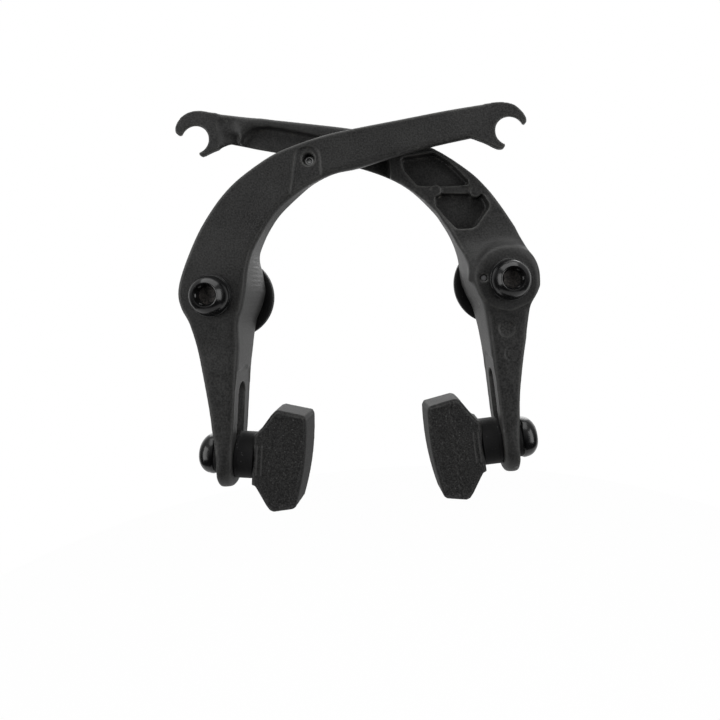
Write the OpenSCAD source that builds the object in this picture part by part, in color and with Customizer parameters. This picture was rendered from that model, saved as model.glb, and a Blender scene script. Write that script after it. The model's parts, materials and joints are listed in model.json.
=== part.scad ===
// U-brake calliper for a bicycle: two crossing arms on parallel pivots, each with a brake pad.
// X runs to the right, +Y to the rear, +Z up. The origin lies midway between the pivot axes,
// on the plane where the rear faces of the spring adjusters meet the frame.
// Each side is drawn in its own arm frame: the pivot at the origin and +X towards the wheel.

/* [Pivots] */
// Distance between the two pivot axes
boss_spacing = 83; // [81:0.5:88]
// Diameter of the frame studs that the bushes slide over
stud_d = 9; // [8.5:0.1:9.5]
// Clearance on diameter between a stud and its bush
stud_clearance = 0.05; // [0.02:0.01:0.2]
// Wall of each pivot bush
bush_wall = 0.8; // [0.6:0.05:1]
// Radial running clearance between a bush and its arm
bush_clearance = 0.05; // [0.02:0.01:0.1]
// Gap between an arm's rear face and its spring adjuster
run_gap = 0.15; // [0.1:0.05:0.4]
// Length of bush that stands proud of the arm's front face
bush_proud = 0.15; // [0.1:0.05:0.4]
// Diameter of each spring adjuster
adjuster_d = 25.5; // [24:0.5:30]
// Thickness of each spring adjuster
adjuster_t = 3.2; // [2.6:0.1:5]
// Diameter of each adjuster's bore, which slides over a stud
adjuster_bore_d = 9.6; // [9.45:0.05:10]

/* [Pivot bolts] */
// Thread diameter of the pivot bolts
bolt_d = 6; // [5:0.5:6]
// Length of a pivot bolt under its head
bolt_length = 17; // [12:0.5:17.5]
// Diameter of a pivot bolt's head at its base
head_d = 11.7; // [11:0.1:13]
// Height of a pivot bolt's head
head_h = 4.6; // [4:0.1:6]
// Hexagon size across flats of the pivot bolts
head_hex = 5; // [4:0.5:5.5]
// Depth of the hexagon socket
head_hex_depth = 3; // [2:0.1:3.6]
// Diameter of the plain collar below the head
collar_d = 6.6; // [6.3:0.1:7]
// Thickness of the washer under the head
head_washer_t = 1; // [0.6:0.1:2]
// How far the washer overlaps the arm around its bush
washer_lip = 0.6; // [0.4:0.05:1]

/* [Torsion springs] */
// Wire diameter of the torsion springs
wire_d = 1.5; // [1.2:0.1:1.6]
// Full turns of each torsion spring
spring_turns = 3; // [2:1:4]
// Axial distance from one turn to the next
spring_pitch = 1.9; // [1.7:0.05:2.2]
// Radial gap between a bush and its spring
spring_gap = 0.85; // [0.6:0.05:1]
// Angle of the spring's front leg from the arm frame's +X axis
spring_leg_angle = 7; // [0:1:20]
// Length of the rear leg that sits in the adjuster
spring_rear_leg = 1.8; // [1:0.1:2.2]
// Depth of the blind hole for the front leg in the left arm
spring_blind = 4; // [3:0.5:6]

/* [Arms] */
// Depth of each arm's boss, front to rear
boss_depth = 20; // [19:0.5:23]
// Wall of the boss round its spring
boss_wall = 1.3; // [1.2:0.05:1.6]
// Thickness of the flat upper blade of each arm
blade_t = 7; // [6:0.1:8]
// Gap between the two arms where they cross
cross_gap = 0.6; // [0.4:0.1:1]
// Radius of the long front edges on the wheel side of the arms
soft_edge_r = 1.5; // [0.8:0.1:1.8]
// Radius of the other long edges of the arms
edge_r = 0.7; // [0.4:0.1:0.9]
// Depth of each leg, front to rear
leg_depth = 17.6; // [16.6:0.2:19]
// Thickness of each leg at its slot
leg_wall = 5.2; // [4.8:0.1:5.6]
// Distance from the pivot axis down to the pad post at rest
reach = 46.6; // [45:0.2:50]
// Outward lean of the left leg
left_lean = 6; // [3:0.5:8]
// Outward lean of the right leg
right_lean = 4; // [2:0.5:8]
// Inward offset of the left post from its pivot
left_post_x = 0.2; // [-1:0.1:2]
// Inward offset of the right post from its pivot
right_post_x = 1.2; // [-1:0.1:2]
// Travel of a pad up its slot from rest
travel_up = 18; // [10:0.5:20]
// Travel of a pad down its slot from rest
travel_down = 0.7; // [0.5:0.1:1.5]
// Radius of the bore in each cable hook
hook_r = 4.1; // [3.6:0.1:4.6]
// Thickness of each hook, front to rear
hook_t = 4.4; // [4:0.1:6]
// Diameter of the raised boss on the right arm
raised_boss_d = 19.8; // [19:0.2:20.6]
// Drop from the raised boss to the arm round it
raised_boss_h = 2.4; // [1.5:0.1:3]
// Depth of the pockets in the right arm
pocket_depth = 3; // [1:0.2:3.6]
// Depth of the relief in the right arm's blade
relief_depth = 2.8; // [1:0.2:3.4]

/* [Set screw] */
// Diameter of the set screw in the left arm
screw_d = 3.2; // [2.6:0.1:3.6]
// Length of the set screw
screw_length = 5; // [3.5:0.5:6]
// Depth from the arm's face to the screw's head
screw_sunk = 1.4; // [0.8:0.1:2]
// Depth of the flat panel round the set screw
panel_depth = 0.4; // [0.2:0.05:0.6]

/* [Pads] */
// Diameter of the pad posts
post_d = 6; // [5:0.1:6.4]
// Clearance on each side between a post and its slot
slot_clearance = 0.5; // [0.4:0.05:0.7]
// Diameter of the washers on the inner side of a leg
washer_d = 13.5; // [12.5:0.1:14]
// Gap between moving faces that bear on each other
seat_gap = 0.05; // [0.03:0.01:0.1]
// How much larger the inner washers' ball face is than their radius
ball_rim = 0.75; // [0.55:0.05:1.05]
// Radius of the ball face between the outer washer and the nut
outer_ball_r = 6.7; // [6.5:0.1:6.9]
// How far the back of the pad lies beyond the ball face
cup_cover = 0.2; // [0.2:0.1:2]
// Length of a pad along its leg
pad_length = 29.2; // [26:0.2:34]
// Thickness of a pad from its back to its braking face
pad_thickness = 15.5; // [13:0.25:17]
// Depth of a pad, front to rear
pad_depth = 12.6; // [11:0.2:17]
// Draft of the braking face from front to rear
pad_draft = 1; // [0.2:0.1:1.4]
// Fall of the curved braking face at its lower end
pad_crown = 2.2; // [0.8:0.1:3]
// Fall of the curved braking face at its upper end
pad_top_crown = 0.4; // [0.2:0.1:2]
// How much each end of the pad draws in towards the braking face
pad_taper = 1.3; // [0.4:0.1:2]
// Diameter of the pad nuts
nut_d = 11.8; // [11.4:0.1:12.2]
// Distance from the leg's middle to the top of the nut
nut_reach = 9.8; // [9.2:0.1:11]
// Hexagon size across flats of the pad nuts
nut_hex = 5; // [4:0.5:5]

/* [Hidden] */
$fn = 64;

LEFT = -1;
RIGHT = 1;
OVER = 1;          // how far a cutter runs past the face that it opens

// Pivot sizes
bush_bore_r = (stud_d + stud_clearance) / 2;
bush_r = bush_bore_r + bush_wall;
arm_bore_r = bush_r + bush_clearance;
washer_r = bush_r + washer_lip;
coil_r = bush_r + spring_gap + wire_d / 2;
cavity_gap = 0.35;
cavity_r = coil_r + wire_d / 2 + cavity_gap;
boss_r = cavity_r + boss_wall;
wire_hole_r = wire_d / 2 + 0.2;

// Depths along Y, from the mounting plane forwards
boss_rear = -adjuster_t - run_gap;
boss_front = boss_rear - boss_depth;
bush_front = boss_front - bush_proud;
head_seat = bush_front - head_washer_t;
left_blade_rear = boss_front + blade_t;
right_blade_front = left_blade_rear + cross_gap;
right_blade_rear = right_blade_front + blade_t;
post_y = (boss_front + boss_rear) / 2;
leg_front = post_y - leg_depth / 2;
leg_rear = post_y + leg_depth / 2;

// Spring cavity and coil along Y
coil_rear = boss_rear - wire_d / 2 - 0.9;
coil_front = coil_rear - spring_turns * spring_pitch;
cavity_front = coil_front - wire_d / 2 - 0.6;
bend_r = wire_d * 0.9;

// Pad post frame: X along the post towards the rim, Z up the leg, from the middle of the leg's wall
spot_depth = 0.4;
seat = leg_wall / 2 - spot_depth;
slot_r = post_d / 2 + slot_clearance;
tilt_hole_r = post_d / 2 + 0.6;
fixed_hole_r = post_d / 2 + 0.04;
outer_washer_r = 5.6;
inner_ball_r = washer_d / 2 + ball_rim;
pad_back = inner_ball_r + cup_cover;
end_r = leg_depth / 2;

// Places on the arms, in the arm frame: the hooks' bores and the set screw
left_hook = [85.55, 41.55];
right_hook = [88, 46.4];
hook_flare = 2;
hook_land = 1.2;
hook_disc_r = 7.6;
screw_at = [28.9, 36.7];

// Functions for outlines
function smooth(a, b, c, d, t) =
    0.5 * (2 * b + (c - a) * t + (2 * a - 5 * b + 4 * c - d) * t * t + (3 * b - a - 3 * c + d) * t * t * t);
function spline(rows, steps) = [
    for (i = [0 : len(rows) - 2]) for (k = [0 : steps - 1])
        smooth(rows[max(i - 1, 0)], rows[i], rows[i + 1], rows[min(i + 2, len(rows) - 1)], k / steps),
    rows[len(rows) - 1]
];
function unit(v) = v / norm(v);
// Points of an outline whose corners [x, z, radius] are rounded
function rounded(corners, steps = 5) = [
    for (i = [0 : len(corners) - 1])
        let (
            n = len(corners),
            p = [corners[i][0], corners[i][1]],
            r = corners[i][2],
            before = corners[(i + n - 1) % n],
            after = corners[(i + 1) % n],
            a = unit([before[0], before[1]] - p),
            b = unit([after[0], after[1]] - p),
            half = acos(a * b) / 2
        )
        if (r == 0) p
        else
            let (
                centre = p + unit(a + b) * r / sin(half),
                from = p + a * r / tan(half) - centre,
                to = p + b * r / tan(half) - centre,
                start = atan2(from[1], from[0]),
                turn = atan2(to[1], to[0]) - start,
                sweep = turn > 180 ? turn - 360 : turn < -180 ? turn + 360 : turn
            )
            for (k = [0 : steps]) centre + r * [cos(start + sweep * k / steps), sin(start + sweep * k / steps)]
];

// Rows of the forgings: outer edge x, z, inner edge x, z, inward shift of the rear inner edge, front, rear.
// The bar, from the hook to the boss
left_bar = [
    [80.8, 49.5, 75.3, 39.9, -1.5, boss_front, boss_front + hook_t],
    [68, 48.1, 64.1, 38.1, -2, boss_front, left_blade_rear - 0.5],
    [55.1, 46.3, 53, 35.7, -1.9, boss_front, left_blade_rear],
    [42.1, 44.5, 43, 33.3, -1.6, boss_front, left_blade_rear],
    [33.4, 43, 36, 32, -1.8, boss_front, left_blade_rear],
    [24.8, 40.6, 30, 29.8, -1.4, boss_front, left_blade_rear],
    [18.2, 38, 25, 27.3, -0.3, boss_front, left_blade_rear],
    [9.7, 32.6, 19.6, 23.3, 0.3, boss_front, left_blade_rear],
    [4.4, 27.8, 16.5, 19.5, 0.2, boss_front, left_blade_rear + 0.4],
    [-0.1, 22.1, 14, 15.4, -0.9, boss_front, (2 * left_blade_rear + boss_rear) / 3 + 0.3],
    [-3.9, 15.9, 11.8, 11.4, -1.5, boss_front, (left_blade_rear + 2 * boss_rear) / 3 + 1.2]
];
right_bar = [
    [80.2, 53.7, 77.1, 43.6, -1.7, right_blade_front, right_blade_front + hook_t],
    [68, 51.6, 65.4, 41.3, -1.7, right_blade_front, right_blade_rear - 0.5],
    [54.5, 49.4, 51.8, 38.6, -1.6, right_blade_front, right_blade_rear],
    [41.4, 47.1, 41, 35.4, -1.7, right_blade_front, right_blade_rear],
    [29, 44, 32.3, 31.9, -1.6, right_blade_front, right_blade_rear],
    [18.2, 40, 25.5, 28, -1, right_blade_front, right_blade_rear],
    [8.5, 33.1, 18.9, 22.1, -0.1, right_blade_front, right_blade_rear],
    [3.7, 28.1, 16.7, 18.4, -0.4, right_blade_front - 0.2, right_blade_rear + 0.5],
    [0.5, 22.9, 14.8, 14.8, -0.6, (3 * right_blade_front + boss_front) / 4, (2 * right_blade_rear + boss_rear) / 3],
    [-3.2, 16.4, 13.1, 11, -0.8, (right_blade_front + boss_front + raised_boss_h) / 2, boss_rear - 0.6]
];
// The boss, drawn for a radius of 9.3 and scaled to its own
left_boss = [
    [-7.9, 7, 10.1, 6.6, 0.2, boss_front, boss_rear],
    [-9.4, 1.2, 9.2, 1.2, 1.6, boss_front, boss_rear],
    [-8.7, -3.2, 8.1, -3.7, 1.2, boss_front, boss_rear],
    [-6.7, -7.6, 6.6, -8, 0.8, boss_front + 0.1, boss_rear]
];
right_boss = [
    [-6.9, 8, 11.1, 6.8, 0.2, boss_front + raised_boss_h, boss_rear],
    [-9.1, 1.4, 10, 1.4, 0.9, boss_front + raised_boss_h / 3, boss_rear],
    [-8.4, -3, 8.8, -3, 1, boss_front + 0.2, boss_rear],
    [-6.2, -7, 7, -7.2, 0.9, boss_front + 0.4, boss_rear]
];
function boss_rows(rows) =
    let (g = boss_r / 9.3)
    [for (r = rows) [r[0] * g, r[1] * g, r[2] * g, r[3] * g, r[4], r[5], r[6]]];

// The leg, down to its round end. The outer edge is given as [x, z], the inner one is a leaning plane.
left_outer = [[-5.4, -15], [-4.5, -21], [-3.7, -27], [-3, -33], [-2.5, -40]];
right_outer = [[-4.8, -15], [-3.6, -21], [-2.6, -27], [-1.8, -33], [-1.4, -40]];
function leg_x(lean, post_x, z, offset) = post_x + offset / cos(lean) + (z + reach) * tan(lean);
function leg_rows(outer, lean, post_x) =
    let (half = leg_wall / 2, low = -reach - travel_down * cos(lean))
    concat(
        [for (p = outer) [p[0], p[1], leg_x(lean, post_x, p[1], half), p[1], p[1] > -18 ? 0.4 : 0, leg_front, leg_rear]],
        [
            for (a = [0, 25, 45, 60, 71, 79])
                let (z = low - end_r * sin(a) * cos(lean))
                [leg_x(lean, post_x, z, 0.3 - half), z, leg_x(lean, post_x, z, half), z, 0,
                    post_y - end_r * cos(a), post_y + end_r * cos(a)]
        ]
    );

// One ring of a forging: a four-sided section in the plane of its row, with its corners rounded
function ring(row) =
    let (
        across = [row[2] - row[0], row[3] - row[1]],
        width = norm(across),
        along = across / width,
        rear = min(row[6], boss_rear),
        section = rounded([
            [0, row[5], edge_r],
            [width, row[5], min(soft_edge_r, (rear - row[5]) / 3)],
            [width + row[4], rear, edge_r],
            [0, rear, edge_r]
        ], 3)
    )
    [for (p = section) [row[0] + along[0] * p[0], p[1], row[1] + along[1] * p[0]]];

// A cable hook: its outline about the bore, open outwards and down. The rear of the lower lip is drawn up.
left_hook_outline = concat(
    [[-9.8, 2.7]],
    spline([
        [-6.8, 7.75], [-4.5, 8], [-2.5, 8.05], [-0.9, 7.9], [0.5, 7.55], [1.75, 6.95], [2.8, 6.1], [3.65, 5.1],
        [4.4, 4], [4.75, 3], [4.75, 2.3], [4.4, 1.8]
    ], 2),
    [[3.4, 1.8], [0, 0]],
    spline([
        [-1.65, -4.2], [-1.9, -4.7], [-2.9, -4.85], [-4.1, -4.5], [-5.35, -3.8], [-6.55, -3.1], [-8.35, -2.25],
        [-10.5, -1.35], [-12.8, -0.5]
    ], 2)
);
right_hook_outline = concat(
    [[-11.5, 2.5]],
    spline([
        [-9.3, 6.8], [-7, 7.35], [-5, 7.65], [-3.45, 8.05], [-1.9, 8.3], [-0.35, 8.3], [1.1, 8.05], [2.45, 7.5],
        [3.6, 6.7], [4.5, 5.7], [5.2, 4.55], [5.6, 3.3], [5.5, 2.3], [5, 1.6]
    ], 2),
    [[4.1, 1.6], [0, 0]],
    spline([
        [-1.1, -4.5], [-1.25, -4.9], [-2, -5], [-3.1, -4.6], [-4.2, -4.1], [-5.55, -3.6], [-7.55, -3],
        [-10.5, -2.2], [-13, -1.2]
    ], 2)
);
function inset(points, d) = [
    for (i = [0 : len(points) - 1])
        let (
            n = len(points),
            t = unit(points[(i + 1) % n] - points[(i + n - 1) % n])
        )
        points[i] + d * [t[1], -t[0]]
];
function lifted(points, by) = [for (p = points) p + [0, by * min(1, max(0, (7 - p[1]) / 7))]];

module hook(at, outline, front, rear) {
    middle = (front + rear) / 2;
    translate([at[0], 0, at[1]]) union() {
        plate(outline, front + 0.1, middle);
        plate(inset(lifted(outline, 1.5), 0.3), middle - 0.2, rear - 0.1);
    }
}

// The bore of a hook, flared at both mouths
module hook_bore(at, front, rear) {
    translate([at[0], 0, at[1]]) turned_on_pivot([
        [0, front - OVER], [hook_r + 1.2, front - OVER], [hook_r + 0.2, front], [hook_r, front + 0.2],
        [hook_r, front + hook_land + 0.2], [hook_r + hook_flare, rear], [hook_r + hook_flare, rear + OVER], [0, rear + OVER]
    ]);
}

// A closed skin over rings that all have the same number of points
module skin(rings) {
    n = len(rings[0]);
    last = len(rings) - 1;
    sides = [
        for (i = [0 : last - 1]) for (k = [0 : n - 1])
            let (a = i * n + k, b = i * n + (k + 1) % n)
            each [[a, b, a + n], [b, b + n, a + n]]
    ];
    polyhedron(
        [for (r = rings) each r],
        concat(sides, [[for (k = [n - 1 : -1 : 0]) k]], [[for (k = [0 : n - 1]) last * n + k]])
    );
}

// Placing
module at_pivot(side) {
    translate([side * boss_spacing / 2, 0, 0])
        if (side == RIGHT) mirror([1, 0, 0]) children();
        else children();
}

module at_post(side) {
    at_pivot(side)
        translate([side == LEFT ? left_post_x : right_post_x, post_y, -reach])
            rotate([0, side == LEFT ? left_lean : right_lean, 0]) children();
}

// A solid of revolution about the post, from an outline of [radius, distance along the post]
module turned_on_post(outline) {
    rotate([0, 90, 0]) rotate_extrude() polygon(outline);
}

// A solid of revolution about the pivot axis, from an outline of [radius, Y]
module turned_on_pivot(outline) {
    rotate([-90, 0, 0]) rotate_extrude() polygon(outline);
}

module pivot_cylinder(r, from, to) {
    translate([0, from, 0]) rotate([-90, 0, 0]) cylinder(r = r, h = to - from);
}

// A plate in the XZ plane that reaches from one depth to another
module plate(outline, from, to) {
    translate([0, to, 0]) rotate([90, 0, 0]) linear_extrude(height = to - from) polygon(outline);
}

// Arms
// The slot, and the flat seats that the washers slide on
module slot_cutters() {
    rotate([90, 0, 90]) translate([0, 0, -leg_wall * 2]) linear_extrude(height = leg_wall * 4) union() {
        translate([0, -travel_down]) circle(r = slot_r);
        translate([0, travel_up]) circle(r = slot_r);
        translate([-slot_r, -travel_down]) square([2 * slot_r, travel_up + travel_down]);
    }
    low = -travel_down - end_r - OVER;
    inner_half = washer_d / 2 + 0.4;
    outer_half = outer_washer_r + 0.6;
    translate([seat, -inner_half, low])
        cube([leg_wall, 2 * inner_half, travel_up + inner_half - low]);
    translate([-seat - leg_wall * 2, -outer_half, low])
        cube([leg_wall * 2, 2 * outer_half, travel_up + outer_half - low]);
}

module pivot_cuts(leg_hole_front) {
    pivot_cylinder(arm_bore_r, boss_front - OVER, boss_rear + OVER);
    pivot_cylinder(cavity_r, cavity_front, boss_rear + OVER);
    rotate([0, -spring_leg_angle, 0]) translate([coil_r, 0, 0])
        pivot_cylinder(wire_hole_r, leg_hole_front, cavity_front + OVER);
}

module left_arm() {
    rows = concat(left_bar, boss_rows(left_boss), leg_rows(left_outer, left_lean, left_post_x));
    color([0.16, 0.16, 0.165]) difference() {
        at_pivot(LEFT) union() {
            skin([for (r = spline(rows, 4)) ring(r)]);
            hook(left_hook, left_hook_outline, boss_front, boss_front + hook_t);
        }
        at_pivot(LEFT) pivot_cuts(cavity_front - spring_blind);
        at_pivot(LEFT) hook_bore(left_hook, boss_front, boss_front + hook_t);
        at_post(LEFT) slot_cutters();
        at_pivot(LEFT) plate(rounded([
            [25.8, 40, 3], [32.1, 40, 3], [32.3, 24, 0], [22.8, 24, 0]
        ]), boss_front - OVER, boss_front + panel_depth);
        at_pivot(LEFT) translate([screw_at[0], 0, screw_at[1]])
            pivot_cylinder(screw_d / 2 + 0.02, boss_front - OVER, left_blade_rear + OVER);
    }
}

// Outlines on the right arm's front face
relief = rounded([
    [75.2, 36, 0], [75.3, 43.2, 2], [73.9, 47, 2.5], [70.9, 49.1, 3], [66, 49, 6], [54.4, 46.2, 15],
    [46, 43.9, 20], [31.4, 38.9, 3], [31.4, 24, 0]
]);
pocket_above_rib = rounded([
    [28, 37.6, 1], [27.2, 33.8, 2], [23.6, 29.3, 1.2], [19.6, 28.9, 0.5], [7.4, 28.6, 0.9], [13.6, 35.6, 20], [18.4, 38.7, 1.5]
]);
pocket_below_rib = rounded([
    [18.4, 26.8, 1], [18.6, 23.3, 1.5], [12.9, 15.6, 1.8], [7.8, 15.6, 3], [2.9, 22, 2], [4.6, 25.8, 1.6]
]);
rib_ends = [[18.3, 27.5], [6.7, 26.6]];
rib_end_r = 1.7;
rib_drop = 0.45;
mould_marks = [[1.1, -13.6, 2.2], [0.2, -20.8, 1.6]];

// Outline that keeps the raised boss within the arm
boss_outline = [
    [-9, -2], [-9.1, 2], [-8.3, 5], [-6.6, 8.4], [0, 13], [13, 13], [13, 0], [9.8, 0], [8.5, -4], [6.6, -7.4],
    [0, -9], [-6.2, -6.6], [-7.8, -4]
] * boss_r / 9.3;

module right_arm() {
    front = boss_front + raised_boss_h;
    rows = concat(right_bar, boss_rows(right_boss), leg_rows(right_outer, right_lean, right_post_x));
    raised_r = raised_boss_d / 2;
    color([0.16, 0.16, 0.165]) difference() {
        at_pivot(RIGHT) union() {
            difference() {
                union() {
                    skin([for (r = spline(rows, 4)) ring(r)]);
                    hook(right_hook, right_hook_outline, right_blade_front, right_blade_front + hook_t);
                }
                plate(relief, right_blade_front - OVER, right_blade_front + relief_depth);
                difference() {
                    union() {
                        plate(rounded([[81, 51.8, 1], [81, 46, 0], [75.2, 46, 1], [75.6, 51.2, 1.2]]),
                            right_blade_front - OVER, right_blade_front + 0.9);
                        translate([0, 0, 36]) linear_extrude(height = 11.7) polygon([
                            [82, right_blade_front - OVER], [82, right_blade_front + 0.6],
                            [75.1, right_blade_front + relief_depth], [75.1, right_blade_front - OVER]
                        ]);
                    }
                    translate([right_hook[0], 0, right_hook[1]])
                        pivot_cylinder(hook_disc_r, right_blade_front - 2 * OVER, right_blade_front + 4);
                }
                plate([for (e = [[0, 1], [1, 1], [1, -1], [0, -1]]) rib_ends[e[0]] + [0, e[1] * rib_end_r * 0.9]],
                    right_blade_front - OVER, right_blade_front + rib_drop);
                plate(pocket_above_rib, right_blade_front - 3, right_blade_front + pocket_depth);
                plate(pocket_below_rib, right_blade_front - 8, right_blade_front + pocket_depth);
            }
            for (e = rib_ends) translate([e[0], 0, e[1]])
                pivot_cylinder(rib_end_r, right_blade_front - 0.15, right_blade_rear - 1);
            intersection() {
                turned_on_pivot([
                    [0, boss_front], [raised_r - 0.7, boss_front], [raised_r, boss_front + 0.7],
                    [raised_r + 0.2, front - 0.6], [raised_r + 1.4, front + 0.6], [raised_r + 1.4, front + 2],
                    [0, front + 2]
                ]);
                plate(boss_outline, boss_front - OVER, front + 3);
            }
        }
        at_pivot(RIGHT) pivot_cuts(boss_front - OVER);
        at_pivot(RIGHT) hook_bore(right_hook, right_blade_front, right_blade_front + hook_t);
        at_post(RIGHT) slot_cutters();
        at_pivot(RIGHT) for (m = mould_marks) translate([m[0], 0, m[1]])
            pivot_cylinder(m[2], leg_front - 2, leg_front + 0.1);
    }
}

// Pivot hardware
module bush(side) {
    color([0.72, 0.58, 0.3]) at_pivot(side) difference() {
        pivot_cylinder(bush_r, bush_front, -adjuster_t);
        pivot_cylinder(bush_bore_r, bush_front - OVER, -adjuster_t + OVER);
    }
}

module spring_adjuster(side) {
    r = adjuster_d / 2;
    flat = r - 1.2;
    color([0.08, 0.08, 0.085]) at_pivot(side) difference() {
        turned_on_pivot([
            [0, -adjuster_t], [r - 0.8, -adjuster_t], [r, -adjuster_t + 0.8], [r, -0.5], [r - 0.5, 0], [0, 0]
        ]);
        pivot_cylinder(adjuster_bore_d / 2, -adjuster_t - OVER, OVER);
        rotate([0, spring_turns * 360 - spring_leg_angle, 0]) translate([coil_r, 0, 0])
            pivot_cylinder(wire_hole_r, -adjuster_t - OVER, -adjuster_t + spring_rear_leg + 0.4);
        for (s = [-1, 1]) translate([-r, -adjuster_t / 2, s > 0 ? flat : -flat - r])
            cube([2 * r, adjuster_t, r]);
    }
}

// Centre line of a torsion spring, unrolled: distance round the coil, and Y
function spring_line() =
    let (
        round = 2 * PI * coil_r,
        total = spring_turns * round,
        slope = spring_pitch / round,
        rear_tip = -adjuster_t + spring_rear_leg
    )
    concat(
        [[0, rear_tip], [0, coil_rear + bend_r + 0.4]],
        [for (a = [0 : 30 : 90]) [bend_r * (1 - cos(a)), coil_rear + bend_r * (1 - sin(a))]],
        [for (s = [bend_r + round / 24 : round / 24 : total - bend_r - round / 48]) [s, coil_rear - s * slope]],
        [for (a = [0 : 30 : 90]) [total - bend_r * (1 - sin(a)), coil_front + bend_r * 0.1 - bend_r * (1 - cos(a))]]
    );

module spring(side, front_tip) {
    line = concat(spring_line(), [[2 * PI * coil_r * spring_turns, front_tip]]);
    last = len(line) - 1;
    function turn(s) = spring_leg_angle + 360 * s / (2 * PI * coil_r);
    function radial(s) = [cos(turn(s)), 0, sin(turn(s))];
    function place(p) = coil_r * radial(p[0]) + [0, p[1], 0];
    rings = [
        for (i = [0 : last])
            let (
                out = radial(line[i][0]),
                ahead = unit(place(line[min(i + 1, last)]) - place(line[max(i - 1, 0)])),
                side_way = unit(cross(ahead, out))
            )
            [for (k = [0 : 7]) place(line[i]) + wire_d / 2 * (cos(45 * k) * unit(cross(side_way, ahead)) + sin(45 * k) * side_way)]
    ];
    color([0.6, 0.6, 0.62]) at_pivot(side) skin(rings);
}

module pivot_washer(side) {
    color([0.06, 0.06, 0.065]) at_pivot(side) difference() {
        pivot_cylinder(washer_r, head_seat, bush_front);
        pivot_cylinder(collar_d / 2 + 0.1, head_seat - OVER, bush_front + OVER);
    }
}

module pivot_bolt(side) {
    r = head_d / 2;
    top = head_seat - head_h;
    rim = head_hex / 2 / cos(30) + 0.45;
    collar_end = bush_front + 0.6;
    color([0.05, 0.05, 0.055]) at_pivot(side) difference() {
        turned_on_pivot([
            [0, top], [rim, top], [rim + 0.35, top + 0.12], [r - 1.35, top + 1.2], [r - 0.6, top + 2.3],
            [r - 0.25, head_seat - 0.9], [r, head_seat - 0.75], [r, head_seat], [collar_d / 2, head_seat],
            [collar_d / 2, collar_end], [bolt_d / 2, collar_end], [bolt_d / 2, head_seat + bolt_length - 0.6],
            [bolt_d / 2 - 0.6, head_seat + bolt_length], [0, head_seat + bolt_length]
        ]);
        translate([0, top - OVER, 0]) rotate([-90, 0, 0])
            cylinder(r = head_hex / 2 / cos(30), h = head_hex_depth + OVER, $fn = 6);
    }
}

module set_screw() {
    hex_r = screw_d * 0.28;
    head = boss_front + screw_sunk;
    color([0.62, 0.63, 0.64]) at_pivot(LEFT) translate([screw_at[0], 0, screw_at[1]]) difference() {
        pivot_cylinder(screw_d / 2, head, head + screw_length);
        translate([0, head - OVER, 0]) rotate([-90, 0, 0])
            cylinder(r = hex_r, h = screw_length / 3 + OVER, $fn = 6);
    }
}

// Pads and their hardware
// A pad's outline, its braking face moved out by some distance
function pad_outline(out) =
    let (
        half = pad_length / 2,
        tip = half - pad_taper,
        neck = half * 0.49,
        peak = half * 0.33,
        face = pad_back + pad_thickness + out,
        heights = [for (t = [0.92, 0.8, 0.6, 0.35, 0.1, -0.15, -0.4, -0.6, -0.8, -0.97]) t * tip],
        end = [[0, neck], [1, neck + 0.4], [1.7, neck + 1.4], [4.5, half - 1.7], [5.6, half - 0.4], [6.7, half]]
    )
    concat(
        [for (e = end) [pad_back + e[0], e[1]]],
        [[face - pad_top_crown - 0.6, tip + 0.05]],
        [for (q = heights) let (fall = q < peak ? pad_crown : pad_top_crown, reach = q < peak ? tip + peak : tip - peak)
            [face - fall * pow((q - peak) / reach, 2), q]],
        [[face - pad_crown - 0.7, -tip - 0.25]],
        [for (i = [len(end) - 1:-1:0]) [pad_back + end[i][0], -end[i][1]]]
    );

module pad(side) {
    rim = 0.7;
    levels = [[1, rim], [1 - rim * 2 / pad_depth, 0], [rim * 2 / pad_depth - 1, 0], [-1, rim]];
    color([0.13, 0.13, 0.13]) at_post(side) difference() {
        skin([
            for (v = levels)
                [for (p = inset(pad_outline(pad_draft * v[0] / 2), v[1])) [p[0], v[0] * pad_depth / 2, p[1]]]
        ]);
        turned_on_post([[0, pad_back - OVER], [fixed_hole_r, pad_back - OVER], [fixed_hole_r, pad_back + 7], [0, pad_back + 7]]);
    }
}

module pad_post(side) {
    r = post_d / 2;
    color([0.45, 0.45, 0.47]) at_post(side) turned_on_post([
        [0, -nut_reach + 3.4], [r - 0.4, -nut_reach + 3.4], [r, -nut_reach + 3.8],
        [r, pad_back + 6.9], [0, pad_back + 6.9]
    ]);
}

function ball(r, from, to) = [for (k = [0 : 8]) let (rho = from + (to - from) * k / 8) [rho, sqrt(r * r - rho * rho)]];

module inner_dome_washer(side) {
    r = washer_d / 2;
    color([0.1, 0.1, 0.105]) at_post(side)
        turned_on_post(concat([[tilt_hole_r, seat + seat_gap], [r, seat + seat_gap]], ball(inner_ball_r, r, tilt_hole_r)));
}

module cup_washer(side) {
    r = washer_d / 2;
    color([0.09, 0.09, 0.095]) at_post(side)
        turned_on_post(concat([[r, pad_back], [fixed_hole_r, pad_back]], ball(inner_ball_r + seat_gap, fixed_hole_r, r)));
}

module outer_dome_washer(side) {
    color([0.1, 0.1, 0.105]) at_post(side) mirror([1, 0, 0])
        turned_on_post(concat([[tilt_hole_r, seat + seat_gap], [outer_washer_r, seat + seat_gap]],
            ball(outer_ball_r, outer_washer_r, tilt_hole_r)));
}

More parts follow.
